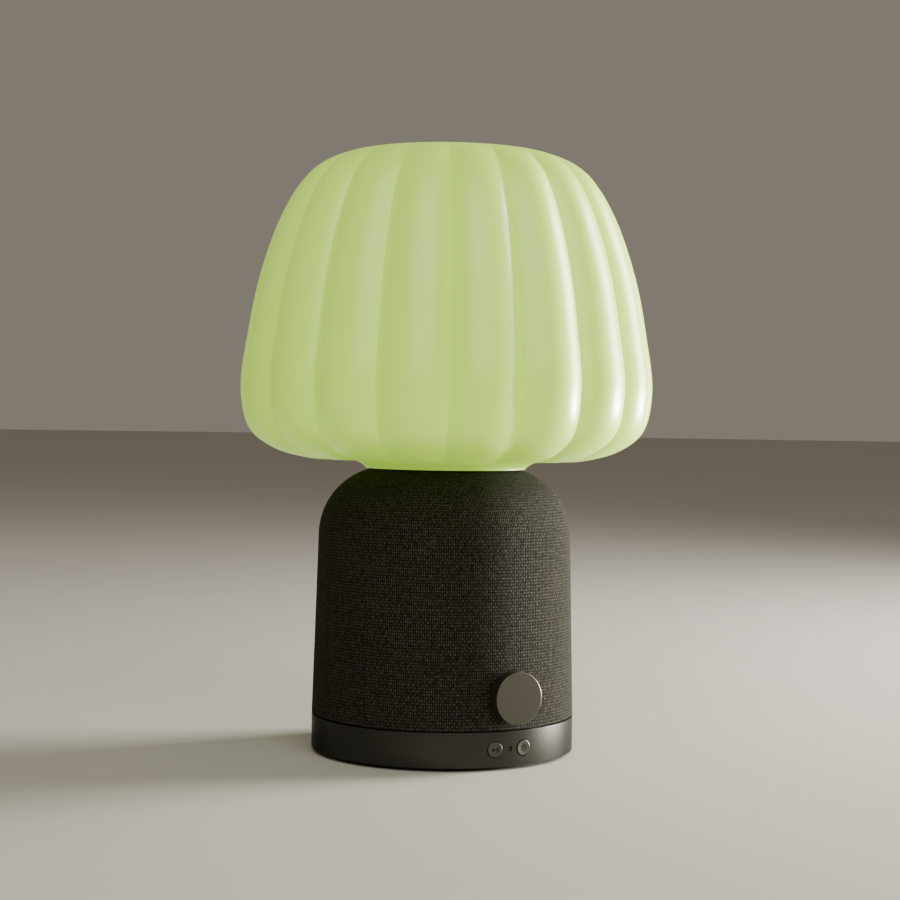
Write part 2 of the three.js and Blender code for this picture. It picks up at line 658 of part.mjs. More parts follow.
// ---------------------------------------------------------------- tweeter and passive radiator
function tweeter() {
  const forward = (body) => facingFront(body, TWEETER.z);
  const front = BAFFLE_FACE + GAP;
  const magnet = { radius: 7.4, depth: 11 };
  const well = { radius: TWEETER.dome + 0.4, floor: front - 2 };
  const housing = turned(
    [
      [0, front - magnet.depth],
      [magnet.radius, front - magnet.depth],
      [magnet.radius, front],
      [TWEETER.plate, front],
      [TWEETER.plate, front + 1.2],
      [TWEETER.plate - 1.5, front + 2.2],
      [well.radius, front + 1],
      [well.radius, well.floor],
      [0, well.floor],
    ],
    FACETS.small,
  );
  part("tweeter_housing", forward(housing), MATERIAL.black);
  const rim = well.floor + 0.4;
  const crown = quarter(TWEETER.dome, 3.4, rim + 0.4, 5);
  const dome = turned([[0, rim], [TWEETER.dome, rim], ...crown], FACETS.small);
  part("tweeter_dome", forward(dome), MATERIAL.cone);
}

function radiator() {
  const backward = (body) => facingRear(body, RADIATOR.z);
  const rim = BAFFLE.rear + BAFFLE.thick + 2 * GAP;
  const weight = { radius: 14, depth: 1.5, plate: 1.2 };
  const plate = turned([
    [0, rim - weight.depth],
    [weight.radius, rim - weight.depth],
    [RADIATOR.plate, rim],
    [RADIATOR.plate, rim + weight.plate],
    [0, rim + weight.plate],
  ]);
  const surround = halfRoll(RADIATOR.plate + 0.4, RADIATOR.hole + 3, rim);
  part("radiator_surround", backward(surround), MATERIAL.rubber);
  part("radiator_plate", backward(plate), MATERIAL.cone);
}

// ---------------------------------------------------------------- shade seat and light engine
// A sector of a ring, centred on the -Y direction.
function sector([inner, outer], [z0, z1], span) {
  const steps = 4;
  const arc = (radius) =>
    repeated(steps + 1, (i) => {
      const turn = THREE.MathUtils.degToRad(-90 + span * (i / steps - 0.5));
      return [radius * Math.cos(turn), radius * Math.sin(turn)];
    });
  return prism([...arc(outer), ...arc(inner).reverse()], z0, z1);
}

const threeTimes = (body) => repeated(LUG.count, (i) => atAngle(body, (360 / LUG.count) * i));

function shadeSeat() {
  const [leadHole, rim, flangeThick] = [6, BODY.clothEnd - 0.8, 1.2];
  const floorTop = SEAT.floor + SEAT.thick;
  const cup = turned(
    [
      [leadHole, SEAT.floor],
      [rim, SEAT.floor],
      [rim, SEAT.flangeZ],
      [SEAT.flange, SEAT.flangeZ],
      [SEAT.flange, SEAT.flangeZ + flangeThick],
      [SEAT.boss, SEAT.flangeZ + flangeThick],
      [SEAT.boss, SEAT.top],
      [SEAT.boss - SEAT.wall, SEAT.top],
      [SEAT.boss - SEAT.wall, floorTop],
      [leadHole, floorTop],
    ],
    FACETS.wide,
  );
  const tabs = sector([SEAT.boss - 0.5, SEAT.flange], [LUG.top + 2 * GAP, LUG.tabTop], LUG.tabSpan);
  const hole = disc(1.9, 0, BEYOND, FACETS.tiny);
  const holes = spread(hole, SEAT_SCREW.count, SEAT_SCREW.at, SEAT_SCREW.first);
  return cut(union(cup, ...threeTimes(tabs)), ...holes);
}

function heatSink() {
  const fin = block([12, 34], [-0.8, 0.8], [SINK.bottom, SINK.top]);
  return union(
    tube(SINK.bore, SINK.radius, SINK.plate, SINK.top),
    ...spread(fin, SINK.fins, 0, 180 / SINK.fins),
  );
}

function lightBoard() {
  const side = [-1.5, 1.5];
  const chip = block(side, side, [LIGHT_BOARD.top - 0.5, LIGHT_BOARD.top + 0.7]);
  return union(
    tube(SINK.bore, LIGHT_BOARD.radius, LIGHT_BOARD.bottom, LIGHT_BOARD.top),
    ...spread(chip, 12, 24),
    ...spread(chip, 6, 12, 15),
  );
}

function seatAndLight() {
  part("shade_seat", shadeSeat(), MATERIAL.black);
  const fixing = screw({ radius: 3, height: 0.9 }, { radius: 1.2, length: 5 });
  const seated = fixing.translate([0, 0, SEAT.floor + SEAT.thick + GAP]);
  spread(seated, SEAT_SCREW.count, SEAT_SCREW.at, SEAT_SCREW.first).forEach((body, i) =>
    part(`seat_screw_${i + 1}`, body, MATERIAL.steel),
  );
  part("heat_sink", heatSink(), MATERIAL.alloy);
  part("led_board", lightBoard(), MATERIAL.whiteBoard);

  const inside = DIFFUSER.radius - DIFFUSER.wall;
  const dome = turned([
    [DIFFUSER.radius, DIFFUSER.bottom],
    ...quarter(DIFFUSER.radius, DIFFUSER.radius, DIFFUSER.straight, 5),
    ...quarter(inside, inside, DIFFUSER.straight, 5).reverse(),
    [inside, DIFFUSER.bottom],
  ]);
  part("diffuser_dome", dome, MATERIAL.frosted);
}

// ---------------------------------------------------------------- glass shade and its bayonet collar
// [radius, height] points of the outer surface over the crests of the ribs, from the neck to the crown.
const SHADE_OUTLINE = [
  [SHADE.neck, SHADE.neckBottom],
  [53, 175.4],
  [60, 177.2],
  [85, 177.9],
  [105.7, 183.4],
  [117, 190.8],
  [123.7, 203.5],
  [126, 220],
  [121.8, 255],
  [114.4, 291],
  [101, 327.5],
  [86.6, 349.6],
  [66, 361.4],
  [0, 365.6],
];
// The ribs die away towards the middle of the crown and towards the neck, between these radii.
const RIB_FADE = { crown: [60, 84], crownBottom: 300, underside: [60, 92], undersideTop: 195 };

function ribShare(radius, z) {
  if (z > RIB_FADE.crownBottom) return THREE.MathUtils.smoothstep(radius, ...RIB_FADE.crown);
  if (z < RIB_FADE.undersideTop) return THREE.MathUtils.smoothstep(radius, ...RIB_FADE.underside);
  return 1;
}

// A turned solid that swells into ribs, from an outline over their crests; one crest faces -Y.
function ribbed(outline, facetsPerRib) {
  const body = new THREE.LatheGeometry(vectors(outline), SHADE.ribs * facetsPerRib).rotateX(Math.PI / 2);
  const at = body.attributes.position;
  for (let i = 0; i < at.count; i++) {
    const [x, y, z] = [at.getX(i), at.getY(i), at.getZ(i)];
    const ribs = (Math.atan2(y, x) / (2 * Math.PI)) * SHADE.ribs;
    const fromCrest = Math.abs(2 * THREE.MathUtils.euclideanModulo(ribs, 1) - 1);
    const scale = 1 - SHADE.depth * fromCrest ** 2 * ribShare(Math.hypot(x, y), z);
    at.setXY(i, x * scale, y * scale);
  }
  return solid(body);
}

// An outline moved inwards by a distance, square to the wall at each point.
const movedInwards = (points, distance) =>
  points.map(([r, z], i) => {
    const [r0, z0] = points[Math.max(i - 1, 0)];
    const [r1, z1] = points[Math.min(i + 1, points.length - 1)];
    const length = Math.hypot(r1 - r0, z1 - z0);
    return [Math.max(r - (distance * (z1 - z0)) / length, 0), z + (distance * (r1 - r0)) / length];
  });

function shadeGlass() {
  const outside = ribbed([[0, SHADE.neckBottom], ...SHADE_OUTLINE], 4);
  const mouth = SHADE.neckBottom - 1;
  const [, ...hollow] = movedInwards(SHADE_OUTLINE.slice(0, -1), SHADE.glass);
  const crown = [0, SHADE_OUTLINE.at(-1)[1] - SHADE.glass];
  const neck = [SHADE.neck - SHADE.neckWall, mouth];
  const inside = ribbed([[0, mouth], neck, ...hollow, crown], 2);
  part("shade_glass", atAngle(cut(outside, inside), SHADE.crestFromFront), MATERIAL.glass);
}

function shadeCollar() {
  const ring = tube(COLLAR.inner, COLLAR.outer, COLLAR.bottom, COLLAR.top, FACETS.wide);
  const lug = sector([SEAT.boss + 0.6, COLLAR.inner + 0.5], [LUG.bottom, LUG.top], LUG.span);
  part("shade_collar", union(ring, ...threeTimes(lug)), MATERIAL.black);
  const neckBore = SHADE.neck - SHADE.neckWall;
  const bond = tube(COLLAR.outer + GAP, neckBore - 0.4, 173.6, 176.2, FACETS.wide);
  part("shade_bond", bond, MATERIAL.rubber);
}

// ---------------------------------------------------------------- wiring inside the base
function wiring() {
  const ledRoute = [
    [0, 0, SINK.top - 1],
    [0, 0.5, SEAT.floor],
    [0, 8, 163.4],
    [0, 34, 162.4],
    [0, 52, 162],
    [0, 60.3, TUB.top + 1.1],
    [0, 65.4, 149],
    [0, 69, 138],
    [0, LED_LEAD.column, 124],
    [0, LED_LEAD.column, DECK.top + 1],
    [-6, 66, 36],
    [-14, 58, 24],
    [-14, 40, 22.6],
  ];
  part("led_lead", wire(ledRoute, LED_LEAD.diameter, 22), MATERIAL.wire);
  const wooferRoute = [
    [26, 8, 24.4],
    [29, 0, 30],
    [44, 2, 40],
    [46, 22, 48],
    [33, 38, 52],
    [...WOOFER_LEAD.rise, 58],
    [...WOOFER_LEAD.rise, 68],
    [16, 8, 76],
    [6, -10, 80],
  ];
  part("woofer_lead", wire(wooferRoute, WOOFER_LEAD.diameter, 18), MATERIAL.wire);
  const inletRoute = [
    [5, INLET.back - 0.5, CONTROL_Z],
    [5, INLET.back - 2, CONTROL_Z],
    [7, 59, 14],
    [14, 58, 20],
    [22, 56, 27],
    [22, 53.5, 33],
    [21, 48, 36],
    [21, 44.6, 36],
  ];
  part("inlet_lead", wire(inletRoute, 2.4, 12), MATERIAL.wire);
}

foot();
buttons();
electronics();
deck();
part("grille_shell", grilleShell(), MATERIAL.black);
part("cloth_sleeve", clothSleeve(), MATERIAL.cloth);
knob();
speakerBox();
woofer();
tweeter();
radiator();
seatAndLight();
shadeGlass();
shadeCollar();
wiring();

export default model;
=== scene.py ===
"""Looks of a speaker lamp: a ribbed opal glass shade on a cloth-covered speaker base with a metal
foot ring, a knob and two buttons. Outlines are in millimetres, as the CAD has them; meshes are in
metres, +Z up, controls facing -Y."""

import math

import bmesh
import bpy
import numpy as np
from mathutils import Matrix, Vector


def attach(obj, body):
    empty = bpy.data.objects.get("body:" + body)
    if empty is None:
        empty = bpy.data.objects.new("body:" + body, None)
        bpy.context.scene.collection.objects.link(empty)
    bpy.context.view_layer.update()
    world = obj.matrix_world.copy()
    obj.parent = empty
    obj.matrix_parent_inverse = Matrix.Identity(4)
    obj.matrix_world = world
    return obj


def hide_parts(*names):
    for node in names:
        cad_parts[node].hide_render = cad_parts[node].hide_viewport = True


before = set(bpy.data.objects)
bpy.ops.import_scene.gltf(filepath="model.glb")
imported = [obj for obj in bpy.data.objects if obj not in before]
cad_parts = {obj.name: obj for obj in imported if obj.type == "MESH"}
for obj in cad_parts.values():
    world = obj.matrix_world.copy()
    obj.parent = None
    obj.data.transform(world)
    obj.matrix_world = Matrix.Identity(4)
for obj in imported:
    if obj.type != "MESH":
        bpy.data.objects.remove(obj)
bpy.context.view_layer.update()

# ---------------------------------------------------------------- driving dimensions, in mm
MM = 0.001
TURN = 2 * math.pi
FAR = 100  # where a cutting tool ends that runs out through the side
CLEAR = 2  # how far any other cutting tool stands out of what it cuts

# Crest line of the shade's outer face, as (radius, height), from the neck to the crown.
SHADE_LINE = [
    (49.2, 172.9),
    (50.2, 173.7),
    (53.6, 175.8),
    (60.0, 177.2),
    (72.0, 177.6),
    (85.0, 177.9),
    (105.7, 183.6),
    (120.5, 195.3),
    (126.0, 219.0),
    (121.8, 255.0),
    (114.4, 291.0),
    (101.0, 328.0),
    (86.6, 350.0),
    (66.0, 361.6),
    (35.0, 364.8),
    (0.0, 365.6),
]
SHADE = {
    "neck": 49.2,
    "neck_bottom": 172.0,
    "neck_wall": 0.9,
    "bend": 54,  # radius at which the glass is thickest, where the neck bends outwards
    "bend_wall": 2.8,
    "bend_end": 60,  # radius from which it has its common wall
    "wall": 2.4,
    "ribs": 18,
    "depth": 0.062,  # of the radius, at the creases
    "crest": -89.2,  # degrees, one crest's bearing
    "roundness": 2.2,  # how flat the crests are against the flanks
    "plain": 60,  # radius within which the glass has no ribs
    "crown": 300,  # above this height the ribs fade out inwards from the next radius
    "crown_full": 84,
    "under": 195,  # below this height they fade out inwards from the next radius
    "under_full": 92,
}
FOOT = {
    "inner": 58,
    "outer": 75,
    "height": 2,
    "groove": 4,  # half the groove's width at its mouth
    "groove_floor": 3,  # and at its floor
    "groove_depth": 0.6,
    "edge": 0.5,
}
PLATE = {"radius": 77.1, "bottom": 2.3, "top": 5.3, "edge": 0.5}
RING = {
    "outer": 80,
    "inner": 77.5,
    "bottom": 2,
    "top": 22.5,
    "ledge": 70,  # inner radius of the ledge at its top
    "ledge_thickness": 2,
    "edge": 0.25,
    "hole_start": 72,  # radius from which the three holes at the front are cut
    "window_start": 70.5,  # radius from which the inlet's window is cut
}
CONTROL_Z = 12.25  # height of the buttons, the status light and the inlet
BODY = {
    "hem_z": 23.4,
    "radius": 77.1,  # at the foot of the shoulder
    "shoulder": 42,  # radius of the shoulder's own curve
    "shoulder_z": 131,
    "opening": 42,  # radius at which the cloth ends at the top
    "cloth": 0.8,
}
SEAM = {
    "welt_width": 2.4,
    "welt_height": 0.5,
    "groove_width": 0.75,
    "groove_depth": 1.0,
    "reach": 6,  # how far to each side the mesh is finer
    "step": 0.3,
}
BUTTON = {
    "angle": 6.9,  # degrees from the front, one to each side
    "radius": 4.6,
    "hole": 5.0,  # radius, in the ring
    "face": 80.3,
    "flange": 5.8,
    "flange_front": 76.7,
    "flange_back": 75.3,
    "stem": 2,
    "stem_back": 72.8,
    "sign": 2.6,  # radius that holds either sign
}
PLAY_SIGN = {"left": -1.9, "tip": 0.3, "half": 1.2, "bars": (0.7, 1.6), "bar": 0.5, "depth": 0.8}
MODE_SIGN = {"ring": 1.6, "dot": 0.58, "depth": 0.9}
STATUS = {"radius": 1.3, "hole": 1.5, "back": 67.4, "rim": 79.3, "tip": 79.6}
KNOB = {
    "z": 42.6,
    "radius": 15.2,
    "face": 89.6,
    "back": 81.4,
    "hole": 5.1,  # radius, in the cloth
    "wall": 1.6,
    "front_wall": 2.2,
    "chamfer": 0.3,  # at the back
    "hub": 6,
    "hub_back": 84,
    "bore": 3.4,
    "bore_end": 88,
}
KNOB_RIM = [(0, 0.27), (0.05, 0.2), (0.31, 0.08)]  # as (inwards from the side, back from the face)
INLET = {
    "half": 9.8,
    "high": 5.0,
    "corner": 0.8,
    "front": 79,
    "back": 63,
    "depth": 12,
    "gap": 0.3,  # between the block and the ring's window
    "lobe": 3.9,
    "spacing": 4.3,
    "waist": 3.4,
    "pin": 1.2,
    "pin_back": 66.5,
    "pin_tip": 76,
}
BASE_SCREW = {
    "count": 4,
    "at": 71.5,
    "first": 45,  # degrees, the first one's bearing
    "head": 3.4,
    "bottom": 5.4,
    "top": 7.3,
    "shank": 1.6,
    "straight": 9,  # length of the shank down to its point
    "length": 12,
    "tip": 0.6,
    "slot": 0.45,  # half the width of the cross recess
    "slot_reach": 1.9,
    "slot_depth": 1.1,
    "twist": 17,  # degrees that each cross is turned past the last
    "recess": 3.9,  # radius, in the base plate
}


# ---------------------------------------------------------------- outlines
def smooth_line(points, count):
    """Evenly spaced points along a smooth curve through the given ones, level at its last one."""
    knots = np.array(points, float)
    gaps = np.sqrt(np.linalg.norm(np.diff(knots, axis=0), axis=1))
    times = np.concatenate(([0.0], np.cumsum(gaps)))
    slopes = np.gradient(knots, times, axis=0)
    slopes[-1][1] = 0.0
    fine = []
    for i, gap in enumerate(np.diff(times)):
        for t in np.linspace(0, 1, 40, endpoint=False):
            fine.append(
                (2 * t**3 - 3 * t**2 + 1) * knots[i]
                + (t**3 - 2 * t**2 + t) * gap * slopes[i]
                + (3 * t**2 - 2 * t**3) * knots[i + 1]
                + (t**3 - t**2) * gap * slopes[i + 1]
            )
    fine = np.array(fine + [knots[-1]])
    return spaced(fine, count)


def spaced(line, count):
    """The same line with count points at even distances along it."""
    run = np.concatenate(([0.0], np.cumsum(np.linalg.norm(np.diff(line, axis=0), axis=1))))
    places = np.linspace(0, run[-1], count)
    return np.stack([np.interp(places, run, line[:, k]) for k in (0, 1)], axis=1)


def inset(line, distance):
    """The line moved sideways, to the left of its direction, by a distance for each point."""
    along = np.gradient(line, axis=0)
    along /= np.linalg.norm(along, axis=1)[:, None]
    return line + np.stack([-along[:, 1], along[:, 0]], axis=1) * np.reshape(distance, (-1, 1))


def soften(points, radius, steps=4, keep_axis=True):
    """The outline with its corners rounded to about the radius; corners on the axis can be kept."""
    corners = [np.array(p, float) for p in points]
    rounded = []
    for i, corner in enumerate(corners):
        before = corners[i - 1] - corner
        after = corners[(i + 1) % len(corners)] - corner
        if keep_axis and corner[0] == 0:
            rounded.append(corner)
            continue
        reach = min(radius, 0.45 * np.linalg.norm(before), 0.45 * np.linalg.norm(after))
        start = corner + before / np.linalg.norm(before) * reach
        end = corner + after / np.linalg.norm(after) * reach
        for t in np.linspace(0, 1, steps + 1):
            rounded.append((1 - t) ** 2 * start + 2 * t * (1 - t) * corner + t**2 * end)
    return rounded


def arc(centre, radius, first, last, steps):
    """Points on a circle between two angles in degrees."""
    turns = np.radians(np.linspace(first, last, steps + 1))
    return [(centre[0] + radius * math.cos(t), centre[1] + radius * math.sin(t)) for t in turns]


# ---------------------------------------------------------------- meshes
def finished(name, mesh, sharp_angle=32):
    """An object from a mesh: doubles merged, faces outwards, smooth apart from its sharp edges."""
    work = bmesh.new()
    work.from_mesh(mesh)
    bmesh.ops.remove_doubles(work, verts=work.verts, dist=1e-7)
    bmesh.ops.dissolve_degenerate(work, edges=work.edges, dist=1e-7)
    bmesh.ops.recalc_face_normals(work, faces=work.faces)
    work.to_mesh(mesh)
    work.free()
    mesh.shade_smooth()
    mesh.set_sharp_from_angle(angle=math.radians(sharp_angle))
    piece = bpy.data.objects.new(name, mesh)
    bpy.context.scene.collection.objects.link(piece)
    return piece


def skin(name, rings, closed, **options):
    """A surface through rings of points in metres, which all have as many points."""
    rows, columns = len(rings), len(rings[0])
    points = np.concatenate(rings)
    faces = []
    for row in range(rows if closed else rows - 1):
        low, high = row * columns, (row + 1) % rows * columns
        for column in range(columns):
            after = (column + 1) % columns
            faces.append((low + column, low + after, high + after, high + column))
    mesh = bpy.data.meshes.new(name)
    mesh.from_pydata(points.tolist(), [], faces)
    return finished(name, mesh, **options)


def bearings(count):
    """Even angles round a full turn."""
    return np.arange(count) * TURN / count


def level_ring(reach, angles, height):
    """A level ring in metres, from its reach in mm, at each angle, from the lamp's axis."""
    across, along = reach * np.cos(angles), reach * np.sin(angles)
    return np.stack([across, along, np.full_like(angles, height)], axis=1) * MM


def turned(name, profile, columns=128, axis="up", height=0, **options):
    """An outline of (radius, distance) turned about Z, or about a line along -Y or +Y at a height."""
    angles = bearings(columns)
    closed = profile[0][0] > 0
    rings = []
    for radius, distance in profile:
        if axis == "up":
            rings.append(level_ring(radius, angles, distance))
            continue
        across, lift = radius * np.cos(angles), radius * np.sin(angles)
        out = np.full(columns, float(-distance if axis == "front" else distance))
        rings.append(np.stack([across, out, lift + height], axis=1) * MM)
    return skin(name, rings, closed, **options)


def rod(name, radius, low, high, columns, axis="up", height=0):
    """A plain cylinder between two distances, to cut with."""
    outline = [(0, low), (radius, low), (radius, high), (0, high)]
    return turned(name, outline, columns, axis, height)


def prism(name, outline, low, high):
    """A flat outline of (x, y) in mm between two heights, as a closed solid."""
    ring = np.array(outline, float)
    rings = [np.column_stack([ring, np.full(len(ring), level)]) * MM for level in (low, high)]
    mesh = bpy.data.meshes.new(name)
    count = len(ring)
    sides = [(i, (i + 1) % count, count + (i + 1) % count, count + i) for i in range(count)]
    ends = [tuple(range(count)), tuple(range(count, 2 * count))]
    mesh.from_pydata(np.concatenate(rings).tolist(), [], sides + ends)
    return finished(name, mesh)


def rounded_box(name, x, y, z, radius, along="y"):
    """A closed block between x, y and z ranges, with its corners rounded seen along one axis."""
    (left, right), (low, high), run = (x, z, y) if along == "y" else (x, y, z)
    corners = [(left, low), (right, low), (right, high), (left, high)]
    block = prism(name, soften(corners, radius, steps=6, keep_axis=False), *run)
    if along == "y":
        swap_y_and_z = Matrix(((1, 0, 0, 0), (0, 0, 1, 0), (0, 1, 0, 0), (0, 0, 0, 1)))
        block.data.transform(swap_y_and_z)
        work = bmesh.new()
        work.from_mesh(block.data)
        bmesh.ops.recalc_face_normals(work, faces=work.faces)
        work.to_mesh(block.data)
        work.free()
    return block


def placed(piece, matrix):
    """The piece with its mesh moved by a matrix."""
    piece.data.transform(matrix)
    return piece


def facing(angle):
    """The turn of a piece that faces -Y, by an angle in degrees round the lamp's axis."""
    return Matrix.Rotation(math.radians(angle), 4, "Z")


def carve(piece, tools, sharp_angle=32):
    """Cuts the tools out of a piece and applies the result to its mesh."""
    for tool in tools:
        step = piece.modifiers.new(tool.name, "BOOLEAN")
        step.operation = "DIFFERENCE"
        step.solver = "EXACT"
        step.object = tool
    bpy.context.view_layer.update()
    shaped = bpy.data.meshes.new_from_object(
        piece.evaluated_get(bpy.context.evaluated_depsgraph_get())
    )
    piece.modifiers.clear()
    piece.data = shaped
    for tool in tools:
        bpy.data.objects.remove(tool)
    shaped.shade_smooth()
    shaped.set_sharp_from_angle(angle=math.radians(sharp_angle))
    return piece


def dress(piece, material, body, slot, *nodes):
    """Gives a piece its material and its body, and hides the CAD nodes whose place it takes."""
    piece.data.materials.clear()
    piece.data.materials.append(material)
    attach(piece, body)
    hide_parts(*nodes)
    return piece


# ---------------------------------------------------------------- shader building
class Shader:
    """A material around one Principled shader, with short ways to add and join nodes."""

    def __init__(self, name, **values):
        """Sets the surface's own sockets, named with an underscore for each space."""
        self.material = bpy.data.materials.new(name)
        self.material.use_nodes = True
        self.tree = self.material.node_tree
        self.surface = self.tree.nodes["Principled BSDF"]
        for socket, value in values.items():
            self.surface.inputs[socket.replace("_", " ")].default_value = value

    def node(self, kind, *values, **settings):
        """A node with its first inputs set in order: a socket is joined, anything else is a value."""
        made = self.tree.nodes.new("ShaderNode" + kind)
        named = settings.pop("named", {})
        for name, value in settings.items():
            setattr(made, name, value)
        for key, value in [*enumerate(values), *named.items()]:
            if isinstance(value, bpy.types.NodeSocket):
                self.tree.links.new(value, made.inputs[key])
            elif value is not None:
                made.inputs[key].default_value = value
        return made

    def math(self, operation, *values):
        """One step of arithmetic on sockets or numbers."""
        return self.node("Math", *values, operation=operation).outputs[0]

    def position(self, scale=(1, 1, 1)):
        """Object coordinates in metres, stretched by a scale."""
        place = self.node("TexCoord").outputs["Object"]
        return self.node("Mapping", place, named={"Scale": scale}).outputs[0]

    def noise(self, vector, scale, detail=3.0, roughness=0.5):
        """Noise from 0 to 1, with its scale in cells to the metre."""
        named = {"Vector": vector, "Scale": scale, "Detail": detail, "Roughness": roughness}
        return self.node("TexNoise", named=named).outputs["Fac"]

    def spread(self, value, low, high, start=0.0, end=1.0):
        """A value's range from start to end, turned into the range from low to high."""
        return self.node("MapRange", value, start, end, low, high).outputs[0]

    def blend(self, share, low, high):
        """A colour between two, which are sockets or (red, green, blue), by a share from 0 to 1."""
        mix = self.node("Mix", share, data_type="RGBA")
        for socket, colour in zip([i for i in mix.inputs if i.type == "RGBA"], (low, high)):
            if isinstance(colour, bpy.types.NodeSocket):
                self.tree.links.new(colour, socket)
            else:
                socket.default_value = (*colour, 1)
        return [o for o in mix.outputs if o.type == "RGBA"][0]

    def feed(self, socket, value):
        """Joins a value to one of the surface's sockets."""
        self.tree.links.new(value, self.surface.inputs[socket])

    def bump(self, height, distance):
        """Feeds a height from 0 to 1 to the surface's normal, with its full depth in metres."""
        named = {"Height": height, "Distance": distance, "Strength": 1.0}
        self.feed("Normal", self.node("Bump", named=named).outputs[0])


# ---------------------------------------------------------------- materials that show
def opal_glass():
    """Satin opal glass: a little light through it, faint swirls from the mould, and painted shade that makes
    it darker and deeper green at the neck.
    """
    shader = Shader(
        "opal_glass",
        Subsurface_Weight=0.35,
        Subsurface_Radius=(0.6, 1.0, 0.35),
        Subsurface_Scale=0.006,
        Specular_IOR_Level=0.8,
        IOR=1.5,
        Emission_Strength=0.58,
        Emission_Color=(0.46, 0.80, 0.06, 1),
    )
    place = shader.position()
    swirl = shader.noise(place, 14.0, 4.0)
    height = shader.node("SeparateXYZ", place).outputs["Z"]
    # Painted shade: below these heights, in metres, the glass turns darker and deeper green, for the shade at
    # the neck under the belly.
    shaded_below, unshaded_above = 0.174, 0.196
    lift = shader.spread(height, 0.0, 1.0, shaded_below, unshaded_above)
    pale = shader.blend(swirl, (0.56, 0.73, 0.112), (0.61, 0.775, 0.142))
    # The darker, deeper green of the painted shade at the neck.
    deep = shader.blend(swirl, (0.28, 0.45, 0.04), (0.32, 0.49, 0.06))
    shader.feed("Base Color", shader.blend(lift, deep, pale))
    satin = shader.noise(place, 900.0, 2.0)
    shader.feed("Roughness", shader.spread(shader.noise(place, 40.0), 0.29, 0.36))
    wave = shader.math("ADD", shader.math("MULTIPLY", swirl, 0.9), shader.math("MULTIPLY", satin, 0.1))
    shader.bump(wave, 0.0004)
    return shader.material


def speaker_cloth():
    """Woven acoustic cloth: a plain weave of round threads, drawn in the sleeve's own flat pattern, with
    painted shade in the gaps between the threads.
    """
    thread_wide, thread_high = 1.3, 1.8
    shader = Shader("speaker_cloth", Roughness=0.85, Specular_IOR_Level=0.08)
    flat = shader.node("UVMap", uv_map="weave").outputs[0]
    parts = shader.node("SeparateXYZ", flat).outputs
    warp = shader.math("SINE", shader.math("MULTIPLY", parts["X"], math.pi / (thread_wide * MM)))
    weft = shader.math("SINE", shader.math("MULTIPLY", parts["Y"], math.pi / (thread_high * MM)))
    crossing = shader.math("MULTIPLY", warp, weft)
    over = shader.math("ADD", shader.math("ABSOLUTE", warp), crossing)
    under = shader.math("SUBTRACT", shader.math("ABSOLUTE", weft), crossing)
    # Where a thread passes under it is lower, and through the colour it is also painted darker, as shade.
    under = shader.math("MULTIPLY", under, 0.7)
    weave = shader.math("MULTIPLY", shader.math("MAXIMUM", over, under), 0.5)
    fibres = shader.noise(shader.position(), 620.0, 3.0, 0.6)
    cloudy = shader.noise(shader.position((1, 1, 0.35)), 30.0, 3.0)
    # Painted shade: the colour follows the weave's height, near black in the gaps between threads, mixed with
    # the fibres' and the cloth's own uneven tone.
    shade = shader.math("MULTIPLY", weave, shader.spread(fibres, 0.35, 1.55, 0.3, 0.7))
    shade = shader.math("MULTIPLY", shade, shader.spread(cloudy, 0.88, 1.1))
    shade = shader.math("POWER", shade, 1.8)
    shader.feed("Base Color", shader.blend(shade, (0.006, 0.0055, 0.004), (0.076, 0.069, 0.049)))
    shader.bump(weave, 0.0008)
    return shader.material


def anodised(name, low, high, roughness, grain, edge=1.0):
    """Bead-blasted and anodised aluminium: a fine even grain over a soft cloudy tone."""
    shader = Shader(name, Metallic=0.85, Specular_Tint=(edge, edge, edge, 1))
    place = shader.position()
    cloudy = shader.noise(place, 24.0, 3.0)
    fine = shader.noise(place, grain, 2.0)
    tone = shader.math("MULTIPLY", shader.math("ADD", cloudy, fine), 0.5)
    shader.feed("Base Color", shader.blend(tone, low, high))
    shader.feed("Roughness", shader.spread(fine, roughness - 0.04, roughness + 0.05))
    shader.bump(fine, 0.00004)
    return shader.material


def moulded(name, low, high, roughness, grain, depth):
    """Moulded plastic or rubber: a spark-eroded grain and slightly uneven colour."""
    shader = Shader(name)
    place = shader.position()
    fine = shader.noise(place, grain, 2.0)
    shader.feed("Base Color", shader.blend(shader.noise(place, 60.0), low, high))
    shader.feed("Roughness", shader.spread(fine, roughness - 0.08, roughness + 0.06))
    shader.bump(fine, depth)
    return shader.material


# ---------------------------------------------------------------- materials of the inner pieces
def plated(name, low, high, roughness):
    """Plated or turned metal with faint tool marks."""
    shader = Shader(name, Metallic=0.95)
    marks = shader.noise(shader.position((1, 1, 14)), 220.0, 3.0)
    shader.feed("Base Color", shader.blend(marks, low, high))
    shader.feed("Roughness", shader.spread(marks, roughness - 0.08, roughness + 0.1))
    shader.bump(marks, 0.00003)
    return shader.material


def circuit_board(name, mask, track):
    """A circuit board's lacquer with slightly raised tracks."""
    shader = Shader(name, Roughness=0.4, Coat_Weight=0.3)
    named = {"Vector": shader.position(), "Scale": 260.0}
    cells = shader.node("TexVoronoi", named=named, distance="CHEBYCHEV", feature="F1")
    tracks = shader.spread(cells.outputs["Distance"], 1.0, 0.0, 0.30, 0.36)
    shader.feed("Base Color", shader.blend(tracks, mask, track))
    shader.bump(tracks, 0.00004)
    return shader.material


def frosted():
    """Frosted diffuser plastic, faintly lit from inside."""
    shader = Shader(
        "frosted",
        Subsurface_Weight=0.4,
        Subsurface_Scale=0.003,
        Emission_Color=(1.0, 0.93, 0.78, 1),
        Emission_Strength=0.1,
    )
    place = shader.position()
    cloudy = shader.noise(place, 50.0)
    fine = shader.noise(place, 1200.0)
    shader.feed("Base Color", shader.blend(cloudy, (0.84, 0.83, 0.77), (0.93, 0.92, 0.87)))
    shader.feed("Roughness", shader.spread(fine, 0.45, 0.6))
    shader.bump(fine, 0.00003)
    return shader.material


